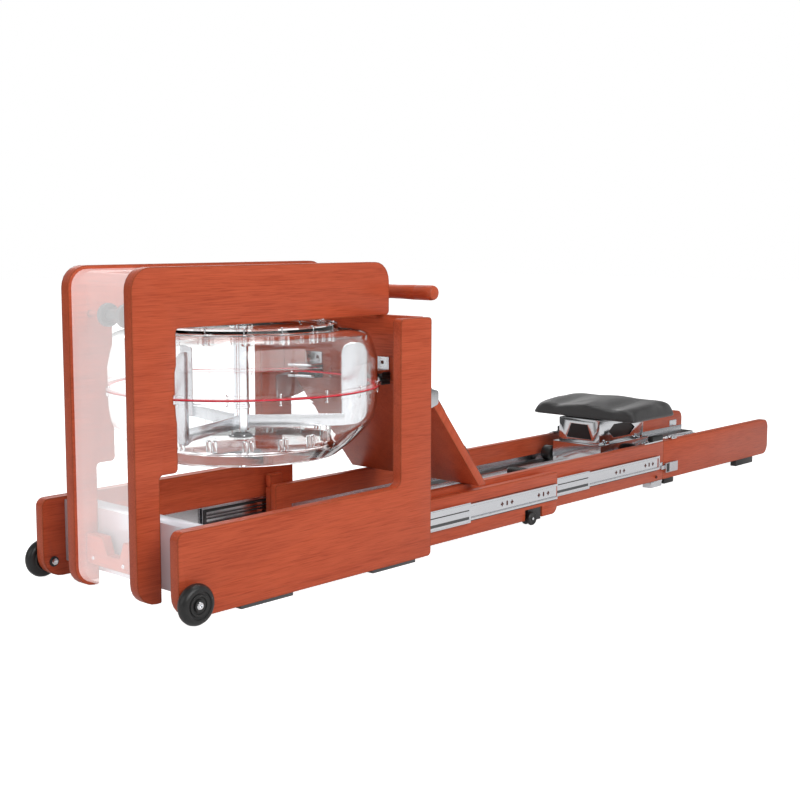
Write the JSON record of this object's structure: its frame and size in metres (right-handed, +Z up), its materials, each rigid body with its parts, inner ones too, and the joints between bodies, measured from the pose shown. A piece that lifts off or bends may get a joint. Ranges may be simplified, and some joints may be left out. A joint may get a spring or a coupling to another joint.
{
  "type": "water rowing machine",
  "caption": "Folding water rower: clear tank with paddle in a wooden base, rolling seat on telescoping rail boards, tail that folds up, footboard and strap-pulled handle.",
  "frame": {"origin": "centre of the bounding box on the floor, below the rail between base and tail", "axes": "+X along the rail from the base to the tail, +Y to the far side, +Z up"},
  "size_m": [2.1494, 0.516, 0.5745],
  "materials": {
    "wood": "glossy lacquered red-brown wood with fine grain",
    "steel": "bright plated steel",
    "black_plastic": "satin black plastic",
    "rubber": "matt black rubber",
    "clear_plastic": "clear polished plastic",
    "red_rubber": "red moulded gasket",
    "cushion": "dark padded cover"
  },
  "bodies": {
    "frame": {"base_panel_near": "wood", "base_panel_far": "wood", "tower_panel_near": "wood", "tower_panel_far": "wood", "front_shield": "clear_plastic", "front_board": "wood", "cross_box": "steel", "cross_board": "wood", "tank_bowl": "clear_plastic", "tank_gasket": "red_rubber", "tank_top": "clear_plastic", "tank_clamp_near": "steel", "tank_clamp_far": "steel", "strap": "black_plastic", "handle_cradle": "black_plastic", "floor_pads_near": "rubber", "floor_pads_far": "rubber", "slide_one_outer_near": "steel", "slide_one_outer_far": "steel", "footboard_bracket_near": "steel", "footboard_bracket_far": "steel"},
    "wheel_near_body": {"wheel_near": "rubber"},
    "wheel_far_body": {"wheel_far": "rubber"},
    "return_pulley_body": {"return_pulley": "black_plastic"},
    "first_middle_slides": {"slide_one_middle_near": "steel", "slide_one_middle_far": "steel"},
    "stage_one": {"board_one_near": "wood", "board_one_far": "wood", "slide_one_inner_near": "steel", "slide_one_inner_far": "steel", "slide_two_outer_near": "steel", "slide_two_outer_far": "steel", "board_one_tie": "black_plastic"},
    "castor_near_body": {"castor_near": "rubber"},
    "castor_far_body": {"castor_far": "rubber"},
    "second_middle_slides": {"slide_two_middle_near": "steel", "slide_two_middle_far": "steel"},
    "stage_two": {"board_two_near": "wood", "board_two_far": "wood", "slide_two_inner_near": "steel", "slide_two_inner_far": "steel", "seat_track": "steel", "hinge_base_near": "steel", "hinge_base_far": "steel"},
    "tail": {"tail_board_near": "wood", "tail_board_far": "wood", "tail_track": "steel", "tail_foot": "black_plastic", "hinge_leaf_near": "steel", "hinge_leaf_far": "steel"},
    "seat": {"seat_pad": "cushion", "seat_bracket": "steel", "seat_truck": "steel"},
    "front_rollers": {"seat_rollers_front": "black_plastic"},
    "rear_rollers": {"seat_rollers_rear": "black_plastic"},
    "footboard_body": {"footboard": "wood", "foot_rests": "black_plastic"},
    "handle_body": {"handle": "wood"},
    "paddle_body": {"paddle": "steel"},
    "drum_body": {"strap_drum": "black_plastic"}
  },
  "joints": [
    {"name": "rails_in", "type": "slide", "parent": "frame", "child": "stage_one", "axis": [-1, 0, 0], "range_m": [0, 0.21]},
    {"name": "rails_in_second", "type": "slide", "parent": "stage_one", "child": "stage_two", "axis": [-1, 0, 0], "range_m": [0, 0.21]},
    {"name": "first_slides_middle", "type": "slide", "parent": "frame", "child": "first_middle_slides", "axis": [-1, 0, 0], "range_m": [0, 0.105]},
    {"name": "second_slides_middle", "type": "slide", "parent": "stage_one", "child": "second_middle_slides", "axis": [-1, 0, 0], "range_m": [0, 0.105]},
    {"name": "seat_roll", "type": "slide", "parent": "stage_two", "child": "seat", "axis": [-1, 0, 0], "range_m": [-0.47, 0.35]},
    {"name": "front_rollers_turn", "type": "hinge", "parent": "seat", "child": "front_rollers", "pos_m": [0.36539, 0, 0.0753], "axis": [0, 1, 0], "range_deg": [-1060, 1420]},
    {"name": "rear_rollers_turn", "type": "hinge", "parent": "seat", "child": "rear_rollers", "pos_m": [0.5302, 0, 0.0753], "axis": [0, 1, 0], "range_deg": [-1060, 1420]},
    {"name": "tail_fold", "type": "hinge", "parent": "stage_two", "child": "tail", "pos_m": [0.5613, 0, 0.117], "axis": [0, -1, 0], "range_deg": [0, 90]},
    {"name": "footboard_lift", "type": "hinge", "parent": "frame", "child": "footboard_body", "pos_m": [-0.4102, 0, 0.31], "axis": [0, -1, 0], "range_deg": [0, 51]},
    {"name": "handle_pull", "type": "slide", "parent": "frame", "child": "handle_body", "axis": [-1, 0, 0], "range_m": [-1, 0], "stiffness_N_per_m": 20, "springref_m": 0.3},
    {"name": "drum_turn", "type": "hinge", "parent": "frame", "child": "drum_body", "pos_m": [-0.7456, 0, 0.514], "axis": [0, 0, 1], "range_deg": [0, 1840]},
    {"name": "return_pulley_turn", "type": "hinge", "parent": "frame", "child": "return_pulley_body", "pos_m": [-1.0207, 0, 0.491], "axis": [0, 1, 0], "range_deg": [0, 2800]},
    {"name": "paddle_spin", "type": "hinge", "parent": "frame", "child": "paddle_body", "pos_m": [-0.7456, 0, 0.35], "axis": [0, 0, 1], "continuous": true},
    {"name": "wheel_near_spin", "type": "hinge", "parent": "frame", "child": "wheel_near_body", "pos_m": [-1.0397, -0.223, 0.0352], "axis": [0, 1, 0], "continuous": true},
    {"name": "wheel_far_spin", "type": "hinge", "parent": "frame", "child": "wheel_far_body", "pos_m": [-1.0397, 0.223, 0.0352], "axis": [0, 1, 0], "continuous": true},
    {"name": "castor_near_spin", "type": "hinge", "parent": "stage_one", "child": "castor_near_body", "pos_m": [-0.0727, -0.168, 0.015], "axis": [0, 1, 0], "continuous": true},
    {"name": "castor_far_spin", "type": "hinge", "parent": "stage_one", "child": "castor_far_body", "pos_m": [-0.0727, 0.168, 0.015], "axis": [0, 1, 0], "continuous": true}
  ],
  "couplings": [
    {"joint": "rails_in_second", "follows": "rails_in", "ratio": 1},
    {"joint": "first_slides_middle", "follows": "rails_in", "ratio": 0.5},
    {"joint": "second_slides_middle", "follows": "rails_in", "ratio": 0.5},
    {"joint": "front_rollers_turn", "follows": "seat_roll", "rad_per_m": -52.632},
    {"joint": "rear_rollers_turn", "follows": "seat_roll", "rad_per_m": -52.632},
    {"joint": "drum_turn", "follows": "handle_pull", "rad_per_m": -31.95},
    {"joint": "return_pulley_turn", "follows": "handle_pull", "rad_per_m": -48.78}
  ]
}
